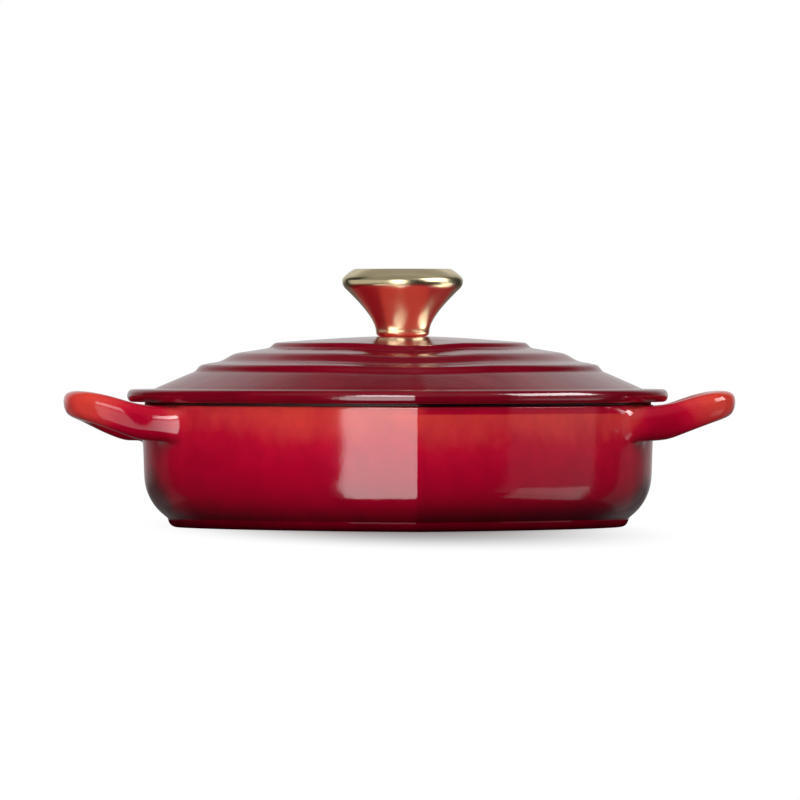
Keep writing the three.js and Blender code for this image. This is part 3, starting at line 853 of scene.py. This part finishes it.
def pot_enamel():
    """Red enamel that runs from orange-red at the rim and the handles' ends to deep red at the foot, with
    painted shade on its left and lower right and a painted lid shadow on its right.
    """
    made, tree, shader, coords = new_material("pot_enamel")
    places = coordinates(tree, coords)
    runs = noise(tree, coords, **POT_RUNS)
    curls = noise(tree, coords, **POT_CURLS)
    runs_drift = combine(tree, "MULTIPLY_ADD", runs, POT_RUNS_REACH, -POT_RUNS_REACH / 2)
    curls_drift = combine(tree, "MULTIPLY_ADD", curls, POT_CURLS_REACH, -POT_CURLS_REACH / 2)
    drift = combine(tree, "ADD", runs_drift, curls_drift)
    level = combine(tree, "MULTIPLY_ADD", drift, product(tree, places, FOOT_CALM), places["z"])
    level = combine(tree, "ADD", level, product(tree, places, FOOT_LIFT))
    # Dips of the height: the handles' darker roots with painted shade on the left, and a darker band under
    # the rim with painted shade low on the right and under the lid
    for first, second in ((ARMS_DIP, LEFT_PAINTED_SHADE), (SHOULDER_DIP_AND_PAINTED_SHADOW, LOW_RIGHT_PAINTED_SHADE)):
        tone_dip_and_painted_shade = combine(tree, "MAXIMUM", product(tree, places, first), product(tree, places, second))
        level = combine(tree, "SUBTRACT", level, tone_dip_and_painted_shade)
    base = ramp(tree, band(tree, level, 0, POT_COLOUR_HEIGHT), POT_COLOURS)
    tree.links.new(mottled(tree, coords, base, strength=0.06), shader.inputs["Base Color"])
    tree.links.new(product(tree, places, POT_SHINE), shader.inputs["Specular IOR Level"])
    glaze(tree, shader, coords, roughness=0.1, peel=0.18)
    return made


def lid_enamel():
    """Deep red enamel of the lid."""
    made, tree, shader, coords = new_material("lid_enamel")
    drift = noise(tree, coords, scale=30.0, detail=3.0)
    base = ramp(tree, drift, [(0.3, srgb(115, 2, 25)), (0.7, srgb(129, 3, 29))])
    tree.links.new(mottled(tree, coords, base, strength=0.05), shader.inputs["Base Color"])
    glaze(tree, shader, coords, roughness=0.1, peel=0.3)
    return made


def rim_black():
    """Matt black enamel of the faces where pot and lid meet."""
    made, tree, shader, coords = new_material("rim_black")
    grain = noise(tree, coords, scale=900.0, detail=3.0)
    base = ramp(tree, grain, [(0.3, srgb(34, 12, 12)), (0.7, srgb(50, 20, 19))])
    tree.links.new(base, shader.inputs["Base Color"])
    tree.links.new(bump(tree, grain, strength=0.4, distance=0.15 * MM), shader.inputs["Normal"])
    shader.inputs["Roughness"].default_value = 0.55
    return made


def sand_enamel():
    """Pale sand-coloured enamel of the cooking side."""
    made, tree, shader, coords = new_material("sand_enamel")
    flecks = noise(tree, coords, scale=700.0, detail=3.0, roughness=0.7)
    stops = [(0.3, srgb(206, 190, 160)), (0.5, srgb(226, 213, 186)), (0.7, srgb(234, 223, 199))]
    base = ramp(tree, flecks, stops)
    tree.links.new(mottled(tree, coords, base, strength=0.03), shader.inputs["Base Color"])
    glaze(tree, shader, coords, roughness=0.14, peel=0.25)
    return made


# Turning marks of the knob: noise drawn out round its axis
TURNING_SCALE = (40, 40, 2600)


def knob_gold():
    """Polished steel with a gold-coloured coating and fine turning marks."""
    made, tree, shader, coords = new_material("knob_gold")
    turned = add(tree, "ShaderNodeMapping", {"Vector": coords, "Scale": TURNING_SCALE}).outputs["Vector"]
    marks = noise(tree, turned, scale=1.0, detail=3.0, roughness=0.65)
    tint = noise(tree, coords, scale=45.0)
    base = ramp(tree, tint, [(0.3, srgb(230, 212, 166)), (0.7, srgb(238, 222, 180))])
    tree.links.new(base, shader.inputs["Base Color"])
    tree.links.new(band(tree, marks, 0, 1, low_value=0.21, high_value=0.27), shader.inputs["Roughness"])
    tree.links.new(bump(tree, marks, strength=0.03, distance=0.05 * MM), shader.inputs["Normal"])
    shader.inputs["Metallic"].default_value = 1.0
    return made


def fixing_steel():
    """Plain machined steel of the screw, washer and bush."""
    made, tree, shader, coords = new_material("fixing_steel")
    marks = noise(tree, coords, scale=800.0, detail=3.0)
    base = ramp(tree, marks, [(0.3, srgb(150, 150, 150)), (0.7, srgb(186, 186, 184))])
    tree.links.new(base, shader.inputs["Base Color"])
    tree.links.new(band(tree, marks, 0, 1, low_value=0.25, high_value=0.45), shader.inputs["Roughness"])
    shader.inputs["Metallic"].default_value = 1.0
    return made


def gasket_silicone():
    """Dark matt silicone."""
    made, tree, shader, coords = new_material("gasket_silicone")
    grain = noise(tree, coords, scale=1500.0)
    base = ramp(tree, grain, [(0.3, srgb(38, 32, 30)), (0.7, srgb(52, 45, 42))])
    tree.links.new(base, shader.inputs["Base Color"])
    shader.inputs["Roughness"].default_value = 0.7
    return made


def settle(piece, body, slot, *nodes):
    """Puts a piece on its body in place of its nodes, which it hides; the slot it is given is not used."""
    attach(piece, body)
    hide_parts(*nodes)


# Pieces
black = rim_black()
sand = sand_enamel()
gold = knob_gold()
steel = fixing_steel()
pot = build_pot([pot_enamel(), black, sand])
settle(pot, "pot", "pot_enamel", "casserole_body")
lid = build_lid([lid_enamel(), black, sand])
settle(lid, "lid", "lid_enamel", "lid")
knob = build_knob([gold])
settle(knob, "lid", "knob_gold", "knob_shell")
cap = build_cap([gold])
settle(cap, "lid", "knob_gold", "knob_cap")
gasket = build_ring("knob_seal", gasket_low, gasket_high, GASKET_ROUND, [gasket_silicone()])
settle(gasket, "lid", "gasket_silicone", "knob_gasket")
washer = build_ring("fixing_washer", washer_low, washer_high, WASHER_ROUND, [steel])
settle(washer, "lid", "fixing_steel", "screw_washer")
# The insert and the screw show their solids, in steel
for name in ("knob_insert", "lid_screw"):
    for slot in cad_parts[name].material_slots:
        slot.material = steel

# Floor: a round table, grey in an oval round the casserole as painted shade on which its real shadow also
# falls, and fading into the white around it
WHITE = (1, 1, 1, 1)
FLOOR_RADIUS = 1.2
FLOOR_SIDES = 96
# Grey of the floor near the casserole: painted shade
FLOOR_SHADE_GREY = srgb(175, 173, 173)
FLOOR_ROUGHNESS = 0.9
# Half sizes of the oval of painted shade where the floor's grey shows, its fade in shares of them, and its
# fade to the back
SHADOW_HALF = (0.118, 0.6)
SHADOW_FADE = (0.15, 1.05)
SHADOW_BACK = (0.08, 0.3)


def painted_shade_floor():
    """Matt grey paint that darkens the floor round the casserole as painted shade, also taking its real
    shadow, and turns into plain white away from it.
    """
    made, tree, shader, coords = new_material("painted_shade_floor")
    shader.inputs["Base Color"].default_value = FLOOR_SHADE_GREY
    shader.inputs["Roughness"].default_value = FLOOR_ROUGHNESS
    shader.inputs["Specular IOR Level"].default_value = 0.0
    stretch = (1 / SHADOW_HALF[0], 1 / SHADOW_HALF[1], 0)
    oval = add(tree, "ShaderNodeVectorMath", {0: coords, 1: stretch}, operation="MULTIPLY").outputs["Vector"]
    distance = add(tree, "ShaderNodeVectorMath", {0: oval}, operation="LENGTH").outputs["Value"]
    depth = add(tree, "ShaderNodeSeparateXYZ", {"Vector": coords}).outputs["Y"]
    far = band(tree, distance, *SHADOW_FADE, interpolation_type="SMOOTHSTEP")
    behind = band(tree, depth, *SHADOW_BACK, interpolation_type="SMOOTHSTEP")
    away = combine(tree, "MAXIMUM", far, behind)
    rays = add(tree, "ShaderNodeLightPath").outputs
    mirrored = combine(tree, "MAXIMUM", rays["Is Glossy Ray"], rays["Is Transmission Ray"])
    looked_at = combine(tree, "MAXIMUM", rays["Is Camera Ray"], mirrored)
    whiteness = combine(tree, "MULTIPLY", away, looked_at)
    white = add(tree, "ShaderNodeEmission", {"Color": WHITE, "Strength": 1.0}).outputs["Emission"]
    mix = add(tree, "ShaderNodeMixShader", {0: whiteness, 1: shader.outputs["BSDF"], 2: white})
    tree.links.new(mix.outputs["Shader"], tree.nodes["Material Output"].inputs["Surface"])
    return made


floor_bm = bmesh.new()
bmesh.ops.create_circle(floor_bm, cap_ends=True, radius=FLOOR_RADIUS, segments=FLOOR_SIDES)
floor_mesh = bpy.data.meshes.new("floor")
floor_bm.to_mesh(floor_mesh)
floor_bm.free()
floor_mesh.materials.append(painted_shade_floor())
floor = bpy.data.objects.new("floor", floor_mesh)
bpy.context.scene.collection.objects.link(floor)
floor.visible_glossy = False

# Camera: far off with a long lens, almost level with the lid
CAMERA_DISTANCE = 5.5
CAMERA_HEIGHT = 90 * MM
CAMERA_AZIMUTH = -3.6
CAMERA_RANGE = 100
FRAME_WIDTH = 376.4 * MM
AIM_ASIDE = -2.0 * MM
AIM_HEIGHT = 60.5 * MM
azimuth = math.radians(CAMERA_AZIMUTH)
toward = Vector((math.sin(azimuth), -math.cos(azimuth), 0))
right = Vector((math.cos(azimuth), math.sin(azimuth), 0))
aim = right * AIM_ASIDE + Vector((0, 0, AIM_HEIGHT))
camera_data = bpy.data.cameras.new("camera")
camera = bpy.data.objects.new("camera", camera_data)
bpy.context.scene.collection.objects.link(camera)
camera.location = right * AIM_ASIDE + toward * CAMERA_DISTANCE + Vector((0, 0, CAMERA_HEIGHT))
camera.rotation_euler = (aim - camera.location).to_track_quat("-Z", "Y").to_euler()
camera_data.lens = camera_data.sensor_width * CAMERA_DISTANCE / FRAME_WIDTH
camera_data.clip_end = CAMERA_RANGE
bpy.context.scene.camera = camera


def softbox(name, bearing, elevation, size, brightness, distance=1.5, roll=0, slide=(0, 0)):
    """A soft panel lamp whose plane faces the casserole. Its bearing is in degrees to the right of the
    camera, and it is rolled and then slid within its plane."""
    turn = math.radians(CAMERA_AZIMUTH + bearing)
    rise = math.radians(elevation)
    away = Vector((math.sin(turn) * math.cos(rise), -math.cos(turn) * math.cos(rise), math.sin(rise)))
    data = bpy.data.lights.new(name, "AREA")
    data.shape = "RECTANGLE"
    data.size, data.size_y = size
    data.energy = brightness * math.pi * data.size * data.size_y
    lamp = bpy.data.objects.new(name, data)
    bpy.context.scene.collection.objects.link(lamp)
    facing = (-away).to_track_quat("-Z", "Y").to_matrix() @ Matrix.Rotation(math.radians(roll), 3, "Z")
    lamp.rotation_euler = facing.to_euler()
    lamp.location = Vector((0, 0, AIM_HEIGHT)) + away * distance + facing @ Vector((*slide, 0))
    lamp.visible_camera = False
    return lamp


def collect(name, pieces):
    """A collection of some of the pieces, for a lamp to light or to be blocked by."""
    made = bpy.data.collections.new(name)
    for piece in pieces:
        made.objects.link(piece)
    return made


def light_only(lamp, *pieces):
    """Keeps a lamp's light to some of the pieces."""
    lamp.light_linking.receiver_collection = collect(lamp.name + "_receivers", pieces)


def shade_only(lamp, *pieces):
    """Lets only some of the pieces block a lamp's light."""
    lamp.light_linking.blocker_collection = collect(lamp.name + "_blockers", pieces)


def mirror_panel(pieces, name, **panel):
    """A panel that only shows as a reflection in some of the pieces."""
    lamp = softbox(name, **panel)
    lamp.visible_diffuse = False
    light_only(lamp, *pieces)
    return lamp


def plain_lamp(name, **panel):
    """A panel that lights the casserole without a reflection."""
    lamp = softbox(name, **panel)
    lamp.visible_glossy = False
    return lamp


# Panels that the enamel mirrors
castings = (pot, lid)
left_pair = {"bearing": -40, "elevation": -10, "roll": -5}
mirror_panel(castings, "left_panel", **left_pair, size=(1.1, 1.17), brightness=5.4, slide=(-0.13, -0.265))
mirror_panel(castings, "left_strip", **left_pair, size=(1.1, 0.5), brightness=14, slide=(-0.13, 0.7))
mirror_panel(castings, "right_panel", bearing=100, elevation=0, size=(0.9, 1.2), brightness=0.2)
mirror_panel(
    castings, "right_low_panel", bearing=103.5, elevation=-20, size=(0.74, 0.36), brightness=0.7, roll=10
)
mirror_panel(castings, "right_strip", bearing=100, elevation=20, size=(0.72, 0.5), brightness=11)
mirror_panel((pot,), "right_edge_panel", bearing=142, elevation=-3, size=(0.62, 1.0), brightness=0.07)
mirror_panel((pot,), "left_edge_panel", bearing=-138, elevation=-3, size=(0.5, 1.0), brightness=0.065)

# Panels that the knob mirrors
metals = (knob, cap)
mirror_panel(metals, "knob_front_panel", bearing=-8, elevation=-3, size=(0.72, 1.2), brightness=3)
mirror_panel(metals, "knob_side_panel", bearing=70, elevation=22, size=(1.4, 1.4), brightness=3)
mirror_panel(metals, "knob_top_panel", bearing=180, elevation=60, size=(2.4, 1.6), brightness=0.28)
mirror_panel(
    metals, "knob_left_panel", bearing=-73, elevation=-2, size=(2.4, 0.7), brightness=0.55, distance=1.0
)

# Images of two panels in the glossy lid, as the knob's flare sees them from above
images = (
    mirror_panel((knob,), "knob_front_image", bearing=-16, elevation=-45, size=(0.7, 1.45), brightness=1.15),
    mirror_panel((knob,), "knob_side_image", bearing=98, elevation=-27, size=(0.8, 1.2), brightness=1.15),
)
for image in images:
    image.data.cycles.use_multiple_importance_sampling = False
    shade_only(image, knob)

# Lamps that light the casserole
plain_lamp("top_panel", bearing=0, elevation=85, size=(0.8, 0.8), brightness=2.2, distance=1.6)
plain_lamp("front_panel", bearing=5, elevation=22, size=(1.2, 0.8), brightness=3.8, distance=2.0)
plain_lamp("left_fill", bearing=-52, elevation=15, size=(1.0, 1.0), brightness=6.7, distance=2.0)
plain_lamp("right_fill", bearing=70, elevation=18, size=(1.0, 1.0), brightness=5.0, distance=2.0)
back_fill = plain_lamp("back_fill", bearing=180, elevation=8, size=(1.4, 1.0), brightness=4.0, distance=2.0)
light_only(back_fill, *castings)

# Glow that the lit lid throws up under the knob's flare: deep red all round, and lighter in front
GLOWS = [
    {"name": "knob_glow", "size": (96 * MM, 96 * MM), "ahead": 0, "lift": 0, "colour": (0.15, 0.002, 0.009)},
    {
        "name": "knob_front_glow",
        "size": (46 * MM, 36 * MM),
        "ahead": 24 * MM,
        "lift": 0.1 * MM,
        "colour": (0.2, 0.026, 0.018),
    },
]
for glow in GLOWS:
    glow_data = bpy.data.lights.new(glow["name"], "AREA")
    glow_data.shape = "ELLIPSE"
    glow_data.size, glow_data.size_y = glow["size"]
    glow_data.color = glow["colour"]
    glow_data.energy = math.pi * math.pi / 4 * glow_data.size * glow_data.size_y
    glow_lamp = bpy.data.objects.new(glow["name"], glow_data)
    bpy.context.scene.collection.objects.link(glow_lamp)
    glow_lamp.location = (0, knob_y - glow["ahead"], crown_height + glow["lift"])
    glow_lamp.rotation_euler = (math.pi, 0, 0)
    glow_lamp.visible_camera = False
    glow_lamp.visible_diffuse = False
    light_only(glow_lamp, knob)

# World: dim studio with a pale backdrop behind the casserole, white wherever the camera looks past it
STUDIO_DIM = 0.015
STUDIO_CEILING = 0.3
BACKDROP_FLOOR = 0.2
BACKDROP_LOW = 0.65
BACKDROP_HIGH = 0.42
BACKDROP_TOP = 0.12
# Brightness of backdrop and ceiling, as bands: a part of the direction, its limits, and the values beyond
BACKDROP = [
    ("aside", 0.35, 0.62, 1, 0),
    ("y", 0.05, 0.4, 0, 1),
    ("z", -0.12, 0.02, BACKDROP_FLOOR, 1),
    ("z", -0.45, -0.3, 0, 1),
    ("z", 0.3, 0.75, BACKDROP_LOW, BACKDROP_HIGH),
    ("z", 0.5, 0.68, 1, BACKDROP_TOP),
]
CEILING = [("y", 0.0, 0.25, 1, 0), ("z", 0.12, 0.4, 0, STUDIO_CEILING)]
world = bpy.data.worlds.new("studio")
world.use_nodes = True
bpy.context.scene.world = world
tree = world.node_tree
tree.nodes.clear()
directions = coordinates(tree, add(tree, "ShaderNodeTexCoord").outputs["Generated"])
rays = add(tree, "ShaderNodeLightPath").outputs
looked_through = combine(tree, "MAXIMUM", rays["Is Camera Ray"], rays["Is Transmission Ray"])
mirrored = combine(tree, "MULTIPLY", rays["Is Glossy Ray"], product(tree, directions, BACKDROP))
whiteness = combine(tree, "MAXIMUM", looked_through, mirrored)
dim = combine(tree, "MAXIMUM", product(tree, directions, CEILING), STUDIO_DIM)
studio = add(tree, "ShaderNodeBackground", {"Color": WHITE, "Strength": dim}).outputs["Background"]
white = add(tree, "ShaderNodeBackground", {"Color": WHITE, "Strength": 1.0}).outputs["Background"]
mix = add(tree, "ShaderNodeMixShader", {0: whiteness, 1: studio, 2: white})
add(tree, "ShaderNodeOutputWorld", {"Surface": mix.outputs["Shader"]})

bpy.context.scene.view_settings.view_transform = "Standard"

bpy.context.view_layer.update()
